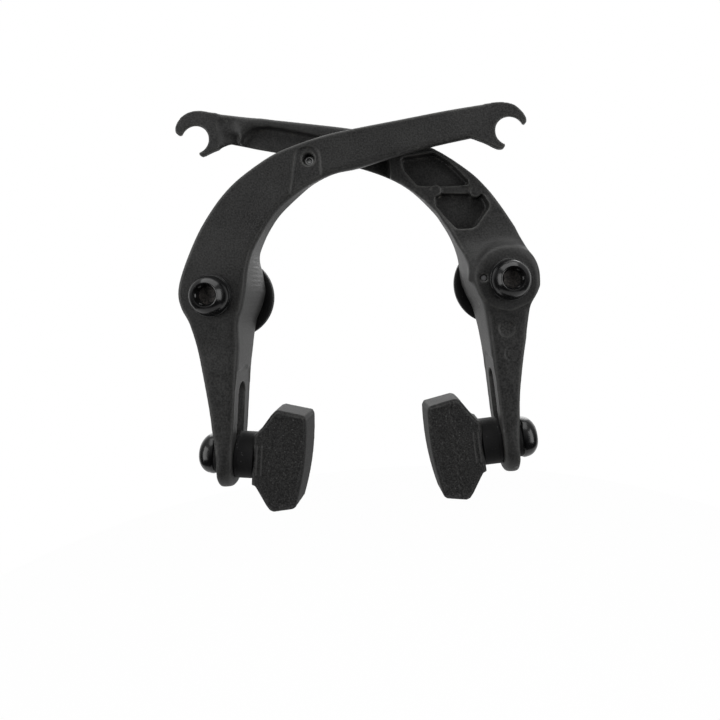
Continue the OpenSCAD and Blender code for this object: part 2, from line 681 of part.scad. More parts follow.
module pad_nut(side) {
    r = nut_d / 2;
    ball_r = outer_ball_r + seat_gap;
    skirt = outer_washer_r;
    color([0.05, 0.05, 0.055]) at_post(side) mirror([1, 0, 0]) difference() {
        turned_on_post(concat(
            [for (a = [0 : 15 : 75]) [r * sin(a) * 0.98, nut_reach - (nut_reach - 5.2) * (1 - cos(a))]],
            [[r, 4.9], [r, 4.1], [skirt, sqrt(ball_r * ball_r - skirt * skirt)]],
            [for (p = ball(ball_r, skirt, fixed_hole_r)) p],
            [[fixed_hole_r, nut_reach - 3.2], [0, nut_reach - 3.2]]
        ));
        translate([nut_reach - 2.6, 0, 0]) rotate([0, 90, 0])
            cylinder(r = nut_hex / 2 / cos(30), h = 4, $fn = 6);
    }
}

left_arm();
bush(LEFT);  // left_bush
spring(LEFT, cavity_front - spring_blind + 0.4);  // left_spring
spring_adjuster(LEFT);  // left_spring_adjuster
pivot_bolt(LEFT);  // left_pivot_bolt
pivot_washer(LEFT);  // left_pivot_washer
set_screw();
pad(LEFT);  // left_pad
pad_post(LEFT);  // left_pad_post
pad_nut(LEFT);  // left_pad_nut
inner_dome_washer(LEFT);  // left_inner_dome_washer
cup_washer(LEFT);  // left_cup_washer
outer_dome_washer(LEFT);  // left_outer_dome_washer
right_arm();
bush(RIGHT);  // right_bush
spring(RIGHT, boss_front + 0.3);  // right_spring
spring_adjuster(RIGHT);  // right_spring_adjuster
pivot_bolt(RIGHT);  // right_pivot_bolt
pivot_washer(RIGHT);  // right_pivot_washer
pad(RIGHT);  // right_pad
pad_post(RIGHT);  // right_pad_post
pad_nut(RIGHT);  // right_pad_nut
inner_dome_washer(RIGHT);  // right_inner_dome_washer
cup_washer(RIGHT);  // right_cup_washer
outer_dome_washer(RIGHT);  // right_outer_dome_washer
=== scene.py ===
"""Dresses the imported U-brake calliper: smooth forged arms, turned hardware, sprung pivots and moulded pads."""

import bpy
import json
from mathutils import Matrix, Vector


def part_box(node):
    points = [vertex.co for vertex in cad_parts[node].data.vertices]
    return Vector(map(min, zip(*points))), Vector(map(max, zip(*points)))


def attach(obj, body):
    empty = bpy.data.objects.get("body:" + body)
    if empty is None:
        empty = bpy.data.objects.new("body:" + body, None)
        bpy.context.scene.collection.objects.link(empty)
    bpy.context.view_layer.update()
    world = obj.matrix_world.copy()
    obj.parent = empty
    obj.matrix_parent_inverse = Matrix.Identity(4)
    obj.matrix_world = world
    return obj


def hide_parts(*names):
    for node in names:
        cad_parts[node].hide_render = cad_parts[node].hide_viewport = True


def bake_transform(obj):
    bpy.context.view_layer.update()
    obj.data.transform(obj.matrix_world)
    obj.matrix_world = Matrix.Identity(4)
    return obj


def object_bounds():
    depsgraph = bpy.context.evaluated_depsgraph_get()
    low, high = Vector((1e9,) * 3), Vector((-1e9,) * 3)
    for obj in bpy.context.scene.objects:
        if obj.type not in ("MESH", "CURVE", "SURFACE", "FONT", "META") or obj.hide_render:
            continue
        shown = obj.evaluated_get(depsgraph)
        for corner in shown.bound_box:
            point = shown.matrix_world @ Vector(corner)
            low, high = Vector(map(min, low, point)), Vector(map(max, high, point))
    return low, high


bl_info = {
    "name": "U-brake calliper",
    "version": (1, 0, 0),
    "blender": (4, 5, 0),
    "location": "View3D > Sidebar > U-brake",
    "description": "Builds the visible forms, finishes and studio of a bicycle U-brake around its packed frame",
    "category": "Object",
}

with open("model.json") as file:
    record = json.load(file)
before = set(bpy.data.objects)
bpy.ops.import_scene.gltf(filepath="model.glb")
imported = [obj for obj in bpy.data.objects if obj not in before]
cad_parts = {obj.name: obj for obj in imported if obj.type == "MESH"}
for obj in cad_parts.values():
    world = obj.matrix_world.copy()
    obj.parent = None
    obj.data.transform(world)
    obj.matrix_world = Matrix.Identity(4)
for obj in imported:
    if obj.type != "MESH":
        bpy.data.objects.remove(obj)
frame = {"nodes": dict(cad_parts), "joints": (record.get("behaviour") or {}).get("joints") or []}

import json
from math import acos, atan2, ceil, cos, hypot, pi, radians, sin, sqrt, tan

import bmesh
import bpy
import numpy as np
from bpy.props import FloatProperty, FloatVectorProperty, IntProperty, PointerProperty
from bpy.types import Operator, Panel, PropertyGroup
from mathutils import Matrix, Vector
from mathutils.bvhtree import BVHTree

MM = 0.001
SIDES = ("left", "right")
CAD_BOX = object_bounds()
JOINTS = {joint["name"]: joint for joint in frame["joints"]}


# Sizes of the frame that the pieces are fitted to

def box_of(node):
    """Lowest and highest corner of a CAD node, in millimetres."""
    low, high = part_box(node)
    return low / MM, high / MM


def extent(node, basis):
    """Lowest and highest corner of a CAD node along the axes of a basis, in millimetres."""
    points = np.array([v.co for v in frame["nodes"][node].data.vertices]) / MM
    turn = np.array(basis.inverted())
    points = points @ turn[:3, :3].T + turn[:3, 3]
    return points.min(axis=0), points.max(axis=0)


def pivot_of(side):
    """X of a pivot axis, in millimetres."""
    return JOINTS[f"{side}_arm_pivot"]["pos_m"][0] / MM


def pivot_axes(side):
    """Basis whose third column is +Y, with its origin on a pivot axis. Distances along it are row Y."""
    return Matrix(((1, 0, 0, pivot_of(side)), (0, 0, 1, 0), (0, 1, 0, 0), (0, 0, 0, 1)))


def post_axes(side):
    """Basis on a pad post: x along the post towards the rim, y to the rear, z up the leg."""
    along = Vector(JOINTS[f"{side}_pad_turn"]["axis"])
    up = Vector(JOINTS[f"{side}_pad_height"]["axis"])
    middle = Vector(JOINTS[f"{side}_pad_toe"]["pos_m"]) / MM
    basis = Matrix((along, Vector((0, 1, 0)), up)).transposed().to_4x4()
    return Matrix.Translation(middle) @ basis


def turned_post_axes(side):
    """The post's basis with its third column along the post, for pieces of revolution."""
    return post_axes(side) @ Matrix(((0, 0, 1, 0), (1, 0, 0, 0), (0, 1, 0, 0), (0, 0, 0, 1)))


# Shader maths

class Value:
    """A shader socket whose operators add Math nodes."""

    def __init__(self, shader, socket):
        self.shader, self.socket = shader, socket

    def _math(self, operation, *values):
        return self.shader.add("ShaderNodeMath", {"operation": operation}, dict(enumerate(values)))

    def __add__(self, other):
        return self._math("ADD", self, other)

    __radd__ = __add__

    def __sub__(self, other):
        return self._math("SUBTRACT", self, other)

    def __rsub__(self, other):
        return self._math("SUBTRACT", other, self)

    def __mul__(self, other):
        return self._math("MULTIPLY", self, other)

    __rmul__ = __mul__

    def __truediv__(self, other):
        return self._math("DIVIDE", self, other)

    def __pow__(self, other):
        return self._math("POWER", self, other)

    def between(self, low, high):
        """0 below low, 1 above high, and a straight line in between."""
        return self.shader.add("ShaderNodeMapRange", {"clamp": True}, {0: self, 1: low, 2: high}, 0)


class Shader:
    """A material, or a world, whose nodes are added by one method."""

    def __init__(self, owner):
        owner.use_nodes = True
        self.tree = owner.node_tree
        self.tree.nodes.clear()
        kind = "ShaderNodeOutputWorld" if isinstance(owner, bpy.types.World) else "ShaderNodeOutputMaterial"
        self.output = self.tree.nodes.new(kind)

    def add(self, kind, settings=None, sockets=None, output=0):
        """Adds a node, makes its settings, feeds its sockets and returns one of its outputs."""
        node = self.tree.nodes.new(kind)
        for name, value in (settings or {}).items():
            if name == "stops":
                for index, (position, colour) in enumerate(value):
                    elements = node.color_ramp.elements
                    element = elements[index] if index < 2 else elements.new(position)
                    element.position, element.color = position, (*colour, 1)
            else:
                setattr(node, name, value)
        for name, value in (sockets or {}).items():
            if isinstance(value, Value):
                self.tree.links.new(value.socket, node.inputs[name])
            else:
                target = node.inputs[name]
                if hasattr(target.default_value, "__len__") and len(target.default_value) == 4 and len(value) == 3:
                    value = (*value, 1)
                target.default_value = value
        return Value(self, node.outputs[output])

    def mix(self, factor, low, high):
        """A colour between two colours."""
        return self.add("ShaderNodeMix", {"data_type": "RGBA"}, {0: factor, 6: low, 7: high}, 2)

    def noise(self, scale, detail=2.0, roughness=0.5, stretch=None):
        """Fractal noise over the object's own metres, from about 0 to 1."""
        place = self.add("ShaderNodeTexCoord", output="Object")
        if stretch:
            place = self.add("ShaderNodeVectorMath", {"operation": "MULTIPLY"}, {0: place, 1: stretch})
        return self.add("ShaderNodeTexNoise", None,
                        {"Vector": place, "Scale": scale, "Detail": detail, "Roughness": roughness})

    def cells(self, scale):
        """Distance to the nearest of scattered points, for specks."""
        place = self.add("ShaderNodeTexCoord", output="Object")
        return self.add("ShaderNodeTexVoronoi", None, {"Vector": place, "Scale": scale})

    def edges(self):
        """Near 0.5 on flat faces, higher on outer edges and lower in corners."""
        return self.add("ShaderNodeNewGeometry", output="Pointiness")

    def distance_from_pivots(self):
        """Distance in metres from the nearer of the two pivot axes."""
        place = self.add("ShaderNodeTexCoord", output="Object")
        x, z = (self.add("ShaderNodeSeparateXYZ", None, {0: place}, axis) for axis in "XZ")
        x = self.add("ShaderNodeMath", {"operation": "ABSOLUTE"}, {0: x}) - abs(pivot_of("left")) * MM
        return (x * x + z * z) ** 0.5

    def bump(self, height, distance, strength=1.0):
        return self.add("ShaderNodeBump", None, {"Height": height, "Distance": distance, "Strength": strength})

    def background_rays(self):
        """1 for the rays that show the white background: seen by the camera, mirrored or through glass."""
        rays = [self.add("ShaderNodeLightPath", output=f"Is {kind} Ray") for kind in ("Camera", "Glossy", "Transmission")]
        return rays[0], self.add("ShaderNodeMath", {"operation": "MAXIMUM"}, {0: rays[1], 1: rays[2]})

    def finish(self, **sockets):
        """Ends the material in a Principled surface."""
        named = {name.replace("_", " "): value for name, value in sockets.items()}
        surface = self.add("ShaderNodeBsdfPrincipled", None, named)
        self.tree.links.new(surface.socket, self.output.inputs["Surface"])


def new_shader(name):
    material = bpy.data.materials.new(name)
    return material, Shader(material)


MATERIALS = {}


def finish_of(maker):
    """The material that a maker returns, made once."""
    if maker not in MATERIALS:
        MATERIALS[maker] = maker()
    return MATERIALS[maker]


def forged_black():
    """Satin black over shot-blasted forged alloy, thinner on the outer edges, which are painted lighter: partly wear,
    partly a painted edge highlight.
    """
    look = bpy.context.scene.ubrake_arms
    material, s = new_shader("forged satin black")
    grain = s.noise(2100, 2, 0.6).between(0.36, 0.64)
    mottle = s.noise(120, 4, 0.6)
    specks = 1 - s.cells(650).between(0.02, 0.07)
    # Outer edges painted lighter: partly wear, partly a painted highlight along the rounded edges.
    wear_and_edge_highlight = s.edges().between(0.506, 0.53) * (0.3 + mottle * 0.9)
    dusty = s.edges().between(0.497, 0.47) * s.noise(500, 3, 0.6).between(0.56, 0.7)
    dark, light = (tuple(c * k for c in look.colour) for k in (0.3, 1.9))
    base = s.mix(grain * 0.6 + mottle.between(0.3, 0.7) * 0.3, dark, light)
    base = s.mix(specks * s.noise(300).between(0.55, 0.7) * 0.5, base, (0.09, 0.09, 0.09))
    base = s.mix(dusty * 0.5, base, (0.085, 0.08, 0.068))
    # Mixes in the edge colour, which is wear and a painted edge highlight.
    base = s.mix(wear_and_edge_highlight * 0.75, base, tuple(look.edge_wear_and_highlight_colour))
    s.finish(Base_Color=base, Roughness=look.roughness - 0.08 + grain * 0.1 + mottle * 0.1 - wear_and_edge_highlight * 0.12,
             Metallic=0.0, IOR=1.45, Specular_IOR_Level=0.34,
             Normal=s.bump(grain * 0.6 + mottle * 0.4, 0.00005, 0.7))
    return material


def polished_black():
    """Black plated steel, with faint turning marks."""
    look = bpy.context.scene.ubrake_hardware
    material, s = new_shader("polished black steel")
    haze = s.noise(420, 4, 0.6)
    scratches = s.noise(900, 2, 0.6, (1, 9, 1)).between(0.62, 0.72)
    # Sharp edges painted lighter: partly wear, partly a painted rim highlight.
    wear_and_edge_highlight = s.edges().between(0.62, 0.78)
    base = s.mix(haze.between(0.35, 0.75), tuple(look.gloss_colour), tuple(c * 1.6 for c in look.gloss_colour))
    base = s.mix(wear_and_edge_highlight * 0.5, base, (0.12, 0.12, 0.12))
    cut = s.noise(1700, 3, 0.7)
    recess = 1 - s.distance_from_pivots().between(0.0023, 0.0025)
    base = s.mix(recess, base, s.mix(cut.between(0.4, 0.65), (0.008, 0.007, 0.007), (0.07, 0.062, 0.056)))
    s.finish(Base_Color=base, Roughness=look.gloss_roughness + haze * 0.08 + scratches * 0.08 + recess * 0.45,
             Metallic=0.0, IOR=1.5, Specular_IOR_Level=0.38,
             Normal=s.bump(haze + recess * cut * 4, 0.00002, 0.3))
    return material


def satin_black():
    """Black oxide on turned washers and adjusters."""
    look = bpy.context.scene.ubrake_hardware
    material, s = new_shader("satin black steel")
    haze = s.noise(260, 4, 0.6)
    grain = s.noise(1800, 2, 0.5)
    # Sharp edges painted lighter: partly wear, partly a painted rim highlight.
    wear_and_edge_highlight = s.edges().between(0.6, 0.75)
    base = s.mix(haze.between(0.35, 0.75), tuple(look.satin_colour), tuple(c * 1.5 for c in look.satin_colour))
    specks = 1 - s.cells(1100).between(0.05, 0.22)
    base = s.mix(specks * grain.between(0.5, 0.65), base, (0.06, 0.06, 0.06))
    base = s.mix(wear_and_edge_highlight * 0.6, base, (0.07, 0.07, 0.07))
    s.finish(Base_Color=base, Roughness=0.55 + haze * 0.16, Metallic=0.0, IOR=1.5, Specular_IOR_Level=0.14,
             Normal=s.bump(grain * 0.6 + haze * 0.4, 0.00006, 0.7))
    return material


def bare_metal(name, colour, roughness, grain_stretch):
    """A drawn or turned bare metal with fine marks and light stains."""
    def make():
        material, s = new_shader(name)
        stain = s.noise(180, 4, 0.6)
        marks = s.noise(1500, 2, 0.6, grain_stretch)
        base = s.mix(stain.between(0.4, 0.8), colour, tuple(c * 0.72 for c in colour))
        s.finish(Base_Color=base, Roughness=roughness + marks * 0.12 + stain * 0.06, Metallic=1.0,
                 Normal=s.bump(marks, 0.00003, 0.5))
        return material
    return make


SPRING_STEEL = bare_metal("spring steel wire", (0.42, 0.42, 0.43), 0.22, (1, 1, 1))
PLATED_POST = bare_metal("plated post", (0.30, 0.30, 0.31), 0.28, (6, 1, 1))
BRIGHT_SCREW = bare_metal("bright plated screw", (0.62, 0.62, 0.62), 0.16, (1, 1, 1))
BEARING_BRONZE = bare_metal("bearing bronze", (0.50, 0.38, 0.18), 0.3, (1, 8, 1))


def pad_rubber():
    """Moulded rubber compound: matt, finely pitted and lighter where it is scuffed."""
    look = bpy.context.scene.ubrake_pads
    material, s = new_shader("moulded pad rubber")
    fine = s.noise(2500, 2, 0.7)
    pits = s.cells(1300).between(0.05, 0.35)
    bloom = s.noise(90, 4, 0.6)
    scuffed = s.edges().between(0.505, 0.54)
    base = s.mix(bloom.between(0.3, 0.75), tuple(look.colour), tuple(c * 1.25 for c in look.colour))
    base = s.mix(fine.between(0.38, 0.62), tuple(c * 0.1 for c in look.colour), base)
    base = s.mix((1 - pits) * fine.between(0.45, 0.65), base, tuple(c * 3.2 for c in look.colour))
    base = s.mix(scuffed * 0.6, base, tuple(c * 2.4 for c in look.colour))
    s.finish(Base_Color=base, Roughness=0.6 + fine * 0.2, Metallic=0.0, IOR=1.45, Specular_IOR_Level=0.28,
             Normal=s.bump(fine * 0.6 + pits * 0.4, 0.00014, 0.8))
    return material


# Outlines and meshes, in millimetres until they are placed

def rounded(corners, steps=5, closed=True):
    """Points of an outline whose corners (x, z, radius) are rounded."""
    points, n = [], len(corners)
    for i, (x, z, r) in enumerate(corners):
        p = Vector((x, z))
        if r <= 0 or (not closed and i in (0, n - 1)):
            points.append(p)
            continue
        a = (Vector(corners[i - 1][:2]) - p).normalized()
        b = (Vector(corners[(i + 1) % n][:2]) - p).normalized()
        half = acos(max(-1, min(1, a.dot(b)))) / 2
        centre = p + (a + b).normalized() * r / sin(half)
        first, last = p + a * r / tan(half) - centre, p + b * r / tan(half) - centre
        start = atan2(first.y, first.x)
        turn = (atan2(last.y, last.x) - start + pi) % (2 * pi) - pi
        points += [centre + r * Vector((cos(start + turn * k / steps), sin(start + turn * k / steps)))
                   for k in range(steps + 1)]
    return points


def arc(radius, start, end, steps=10):
    """(radius, height) points of a ball face from one radius to another."""
    return [(start + (end - start) * k / steps,
             sqrt(radius ** 2 - (start + (end - start) * k / steps) ** 2)) for k in range(steps + 1)]


def placed_mesh(name, vertices, faces, basis, material, smooth_angle=35):
    """Makes an object from millimetre points in a basis, with clean normals and smooth shading."""
    mesh = bpy.data.meshes.new(name)
    mesh.from_pydata([(basis @ Vector(v)) * MM for v in vertices], [], faces)
    shape = bmesh.new()
    shape.from_mesh(mesh)
    bmesh.ops.remove_doubles(shape, verts=shape.verts, dist=1e-7)
    bmesh.ops.recalc_face_normals(shape, faces=shape.faces)
    shape.to_mesh(mesh)
    shape.free()
    mesh.polygons.foreach_set("use_smooth", [True] * len(mesh.polygons))
    mesh.set_sharp_from_angle(angle=radians(smooth_angle))
    mesh.materials.append(material)
    piece = bpy.data.objects.new(name, mesh)
    bpy.context.scene.collection.objects.link(piece)
    return piece


def hexagon(apothem, angle):
    """Distance from the middle of a hexagon to its edge."""
    return apothem / cos((angle + pi / 6) % (pi / 3) - pi / 6)


def turned(name, outline, basis, material, segments=96, smooth_angle=35):
    """A closed piece of revolution. A point is (radius, height), or (radius, height, apothem) for a hexagonal ring."""
    vertices, rings = [], []
    for point in outline:
        radius, height = point[0], point[1]
        if radius < 1e-6:
            rings.append([len(vertices)])
            vertices.append((0, 0, height))
            continue
        rings.append(list(range(len(vertices), len(vertices) + segments)))
        for k in range(segments):
            angle = 2 * pi * k / segments
            r = min(radius, hexagon(point[2], angle)) if len(point) > 2 else radius
            vertices.append((r * cos(angle), r * sin(angle), height))
    faces = []
    count = len(rings)
    closed = len(rings[0]) > 1 or len(rings[-1]) > 1
    for i in range(count if closed else count - 1):
        a, b = rings[i], rings[(i + 1) % count]
        for k in range(segments):
            j = (k + 1) % segments
            if len(a) > 1 and len(b) > 1:
                faces.append((a[k], a[j], b[j], b[k]))
            elif len(a) > 1:
                faces.append((a[k], a[j], b[0]))
            elif len(b) > 1:
                faces.append((a[0], b[j], b[k]))
    return placed_mesh(name, vertices, faces, basis, material, smooth_angle)


def layered(name, rings, basis, material, smooth_angle=35):
    """A closed skin over rings of points, capped at both ends."""
    n = len(rings[0])
    vertices = [tuple(p) for ring in rings for p in ring]
    faces = [(i * n + k, i * n + (k + 1) % n, (i + 1) * n + (k + 1) % n, (i + 1) * n + k)
             for i in range(len(rings) - 1) for k in range(n)]
    faces += [tuple(range(n)), tuple(range(len(vertices) - n, len(vertices)))]
    return placed_mesh(name, vertices, faces, basis, material, smooth_angle)


def inset(points, distance):
    """A closed outline moved inwards."""
    area = sum(a.x * b.y - b.x * a.y for a, b in zip(points, points[1:] + points[:1]))
    turn = 1 if area > 0 else -1
    moved = []
    for i, p in enumerate(points):
        before = (p - points[i - 1]).normalized()
        after = (points[(i + 1) % len(points)] - p).normalized()
        normal = Vector((-(before.y + after.y), before.x + after.x)).normalized() * turn
        spread = max(0.5, sqrt(max(0.0, (1 + before.dot(after)) / 2)))
        moved.append(p + normal * distance / spread)
    return moved


def claim(piece, node, body):
    """Makes a piece stand for a CAD node, whose mesh it hides, and ride on its body."""
    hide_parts(node)
    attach(piece, body)
    return piece


# Arms

def relaxed(points, edges, passes, weight=None):
    """Points drawn towards their neighbours. Without a weight, each pass is followed by one that keeps the size."""
    a, b = edges.T
    count = np.bincount(a, minlength=len(points)) + np.bincount(b, minlength=len(points))
    steps = [0.5, -0.53] if weight is None else [0.5 * weight[:, None]]
    for step in steps * passes:
        total = np.empty_like(points)
        for axis in range(3):
            total[:, axis] = (np.bincount(a, points[b, axis], len(points))
                              + np.bincount(b, points[a, axis], len(points)))
        points = points + step * (total / count[:, None] - points)
    return points


def even_mesh(source, voxel):
    """A mesh of even faces over an object, with its points, laid on the object's surface, and its edges."""
    copy = source.copy()
    copy.data = source.data.copy()
    bpy.context.scene.collection.objects.link(copy)
    copy.parent = None
    remesh = copy.modifiers.new("even", "REMESH")
    remesh.mode = "VOXEL"
    remesh.voxel_size = voxel
    mesh = bpy.data.meshes.new_from_object(copy.evaluated_get(bpy.context.evaluated_depsgraph_get()))
    bpy.data.objects.remove(copy)
    surface = BVHTree.FromPolygons([v.co for v in source.data.vertices], [f.vertices for f in source.data.polygons])
    points = np.array([surface.find_nearest(v.co)[0] for v in mesh.vertices])
    edges = np.empty(len(mesh.edges) * 2, int)
    mesh.edges.foreach_get("vertices", edges)
    return mesh, points, edges.reshape(-1, 2)


def moved(mesh, points, material):
    """The mesh with its points moved, smooth faces and one material."""
    mesh.vertices.foreach_set("co", points.ravel())
    mesh.polygons.foreach_set("use_smooth", [True] * len(mesh.polygons))
    mesh.materials.clear()
    mesh.materials.append(material)
    mesh.update()
    return mesh


def ramp(values, low, high):
    """0 below low, 1 above high, and a smooth rise in between."""
    t = np.clip((values - low) / (high - low), 0, 1)
    return t * t * (3 - 2 * t)


def arm_places(side, points):
    """Places of points on an arm in millimetres: u from its pivot across the wheel, y, z, and u, z as a radius."""
    x, y, z = (points / MM).T
    u = (x - pivot_of(side)) * (1 if side == "left" else -1)
    return u, y, z, np.hypot(u, z)


def softened_places(side, points):
    """Where a forging's corners are softest: its raised boss, its leg beside the washers, its rear and its hook."""
    u, y, z, reach = arm_places(side, points)
    post = Vector(JOINTS[f"{side}_pad_toe"]["pos_m"]) / MM
    off_the_washers = ramp(np.hypot(y - post.y, np.minimum(z - post.z, 0)), 6.4, 7.4)
    leg = (0.3 * ramp(-z, 8, 14) + 0.6 * ramp(-z, 38, 43)) * off_the_washers
    rear = 0.5 * (1 - ramp(-y, 6, 10)) * ramp(reach, 12, 15)
    leg = np.maximum(leg, rear)
    if side == "left":
        return leg
    front = ramp(-y, 8.5, 11)
    boss = ramp(reach, 7.6, 8.4) * (1 - ramp(reach, 13, 16)) * ramp(z, -5, 0) * front
    heel = ramp(reach, 8.5, 10) * (1 - ramp(reach, 15, 18)) * ramp(-z, 0, 2)
    hook = ramp(u, 65, 74) * (1 - ramp(u, 80.3, 81.5)) * front
    relief = 0.45 * ramp(u, 31, 36) * (1 - ramp(u, 64, 72)) * front
    pockets = 0.07 * ramp(z, 15, 20) * front
    return np.maximum.reduce([leg, boss, heel, hook, relief, pockets])


def struck_details(side, points):
    """Depths in millimetres of a countersink, or of two plain round mould marks, in an arm's front face."""
    u, y, z, _ = arm_places(side, points)
    if side == "left":
        low, high = box_of("set_screw")
        away = np.hypot(points[:, 0] / MM - (low.x + high.x) / 2, z - (low.z + high.z) / 2)
        return 0.9 * (1 - ramp(away, 1.35, 1.95)) * ramp(-y, -low.y - 1.6, -low.y - 0.8)
    front = ramp(-y, 13, 14)
    away, angle = np.hypot(u - 1.1, z + 13.6), np.arctan2(z + 13.6, u - 1.1)
    petals = 0.5 + 0.5 * np.cos(9 * angle) * np.sin(away * 3.4)
    mark = (1 - ramp(away, 1.95, 2.3)) * (0.2 + 0.25 * petals)
    away, angle = np.hypot(u - 0.2, z + 20.8), np.arctan2(z + 20.8, u - 0.2)
    crescent = (1 - ramp(np.abs(away - 1.5), 0.15, 0.4)) * (0.5 + 0.5 * np.cos(angle)) * 0.2
    return (mark + crescent) * front


def faced(side, points):
    """The points of an arm, with flat seats where the washers slide along its leg."""
    basis = np.array(post_axes(side))
    turn = np.linalg.inv(basis)
    place = points / MM @ turn[:3, :3].T + turn[:3, 3]
    p, y, q = place.T
    travel = [end / MM for end in JOINTS[f"{side}_pad_height"]["range_m"]]
    away = np.hypot(y, q - np.clip(q, *travel))
    for washer, towards in (("inner_dome_washer", 1), ("outer_dome_washer", -1)):
        low, high = extent(f"{side}_{washer}", post_axes(side))
        seat, radius = min(abs(low[0]), abs(high[0])), high[1]
        proud = (towards * p > seat - 0.05) & (towards * p < seat + 1.5)
        under = proud * (1 - ramp(away, radius + 0.25, radius + 2.25))
        p += under * (towards * (seat - 0.05) - p)
    return (place @ basis[:3, :3].T + basis[:3, 3]) * MM


class ArmSettings(PropertyGroup):
    voxel: FloatProperty(name="Mesh size", description="Size of the mesh over the forged arms",
                         default=0.0003, min=0.00025, max=0.001, unit="LENGTH")
    passes: IntProperty(name="Edge easing", description="Smoothing passes over the forged arms", default=10, min=0)
    soft_passes: IntProperty(name="Soft corners", description="Smoothing passes by the hook and round the boss",
                             default=60, min=0)
    colour: FloatVectorProperty(name="Black", description="Colour of the forged arms", subtype="COLOR",
                                default=(0.0182, 0.0181, 0.0178), min=0, max=1)
    # Colour of the lighter outer edges: partly wear, partly a painted edge highlight.
    edge_wear_and_highlight_colour: FloatVectorProperty(name="Worn edge", description="Colour of the arms' worn edges",
                                     subtype="COLOR", default=(0.06, 0.06, 0.057), min=0, max=1)
    roughness: FloatProperty(name="Roughness", description="Roughness of the arms' finish",
                             default=0.5, min=0, max=1, subtype="FACTOR")


class UBRAKE_OT_arms(Operator):
    """Forged arms with eased edges"""
    bl_idname = "ubrake.arms"
    bl_label = "Arms"

    def execute(self, context):
        look = context.scene.ubrake_arms
        for side in SIDES:
            mesh, points, edges = even_mesh(frame["nodes"][f"{side}_arm"], look.voxel)
            points = relaxed(points, edges, look.passes)
            points = relaxed(points, edges, look.soft_passes, softened_places(side, points))
            points[:, 1] += struck_details(side, points) * MM
            points = faced(side, points)
            piece = bpy.data.objects.new(f"{side}_forging", moved(mesh, points, finish_of(forged_black)))
            context.scene.collection.objects.link(piece)
            claim(piece, f"{side}_arm", f"{side}_arm_body")
        return {"FINISHED"}


# Pivots

class HardwareSettings(PropertyGroup):
    head_diameter: FloatProperty(name="Head diameter", description="Diameter of a pivot bolt's head",
                                 default=0.0117, min=0.01, max=0.014, unit="LENGTH")
    socket: FloatProperty(name="Socket", description="Hexagon across its flats",
                          default=0.005, min=0.004, max=0.006, unit="LENGTH")
    gloss_colour: FloatVectorProperty(name="Polished black", description="Colour of bolts and nuts",
                                      subtype="COLOR", default=(0.003, 0.003, 0.0032), min=0, max=1)
    gloss_roughness: FloatProperty(name="Gloss roughness", description="Roughness of bolts and nuts",
                                   default=0.16, min=0, max=1, subtype="FACTOR")
    satin_colour: FloatVectorProperty(name="Satin black", description="Colour of washers and adjusters",
                                      subtype="COLOR", default=(0.004, 0.004, 0.0042), min=0, max=1)


class UBRAKE_OT_pivot_bolts(Operator):
    """Domed pivot bolts with a rimmed hexagon socket"""
    bl_idname = "ubrake.pivot_bolts"
    bl_label = "Pivot bolts"

    def execute(self, context):
        look = context.scene.ubrake_hardware
        for side in SIDES:
            low, high = box_of(f"{side}_pivot_bolt")
            washer_low = box_of(f"{side}_pivot_washer")[0]
            top, end, seat = low.y, high.y, washer_low.y
            r = look.head_diameter / MM / 2
            half = look.socket / MM / 2
            rim = half / cos(pi / 6) + 0.4
            shank = 3.0
            shape = [(0, end), (shank - 0.6, end), (shank, end - 0.6)]
            y = end - 0.9
            while y > seat + 3.4:
                shape += [(shank, y), (shank - 0.34, y - 0.5), (shank, y - 1.0)]
                y -= 1.0
            shape += [(shank, seat + 1.7), (3.3, seat + 1.5), (3.3, seat), (r - 0.12, seat), (r, seat - 0.12)]
            shape += [(r, seat - 0.5), (r - 0.1, seat - 0.62), (r - 0.24, seat - 0.66)]
            lip = rim + 0.12
            start, crown = acos(lip / (r - 0.3)), r - 0.3
            dome = seat - 0.7 - top
            shape += [(crown * cos(start * k / 14), seat - 0.7 - dome * sin(start * k / 14) / sin(start))
                      for k in range(15)]
            shape += [(lip - 0.1, top - 0.0), (lip - 0.34, top + 0.12), (lip - 0.42, top + 0.3)]
            shape += [(half * 1.17, top + 0.7, half * 1.02), (half * 1.16, top + 0.9, half)]
            shape += [(half * 1.16, top + 2.7, half), (half * 0.6, top + 2.85), (0, top + 3.1)]
            piece = turned(f"{side}_bolt", shape, pivot_axes(side), finish_of(polished_black), 120, 30)
            claim(piece, f"{side}_pivot_bolt", "fixed_pivots")
        return {"FINISHED"}


class UBRAKE_OT_pivot_washers(Operator):
    """Washers and bronze bushes on the pivots"""
    bl_idname = "ubrake.pivot_washers"
    bl_label = "Pivot washers and bushes"

    def execute(self, context):
        for side in SIDES:
            low, high = box_of(f"{side}_pivot_washer")
            r, c = (high.x - low.x) / 2, 0.18
            shape = [(3.4, low.y + c), (3.4 + c, low.y), (r - c, low.y), (r, low.y + c),
                     (r, high.y - c), (r - c, high.y), (3.4 + c, high.y), (3.4, high.y - c)]
            claim(turned(f"{side}_washer", shape, pivot_axes(side), finish_of(satin_black)),
                  f"{side}_pivot_washer", "fixed_pivots")
            low, high = box_of(f"{side}_bush")
            r, bore, c = (high.x - low.x) / 2, 4.525, 0.12
            shape = [(bore, low.y + c), (bore + c, low.y), (r - c, low.y), (r, low.y + c),
                     (r, high.y - c), (r - c, high.y), (bore + c, high.y), (bore, high.y - c)]
            claim(turned(f"{side}_sleeve", shape, pivot_axes(side), finish_of(BEARING_BRONZE)),
                  f"{side}_bush", "fixed_pivots")
        return {"FINISHED"}


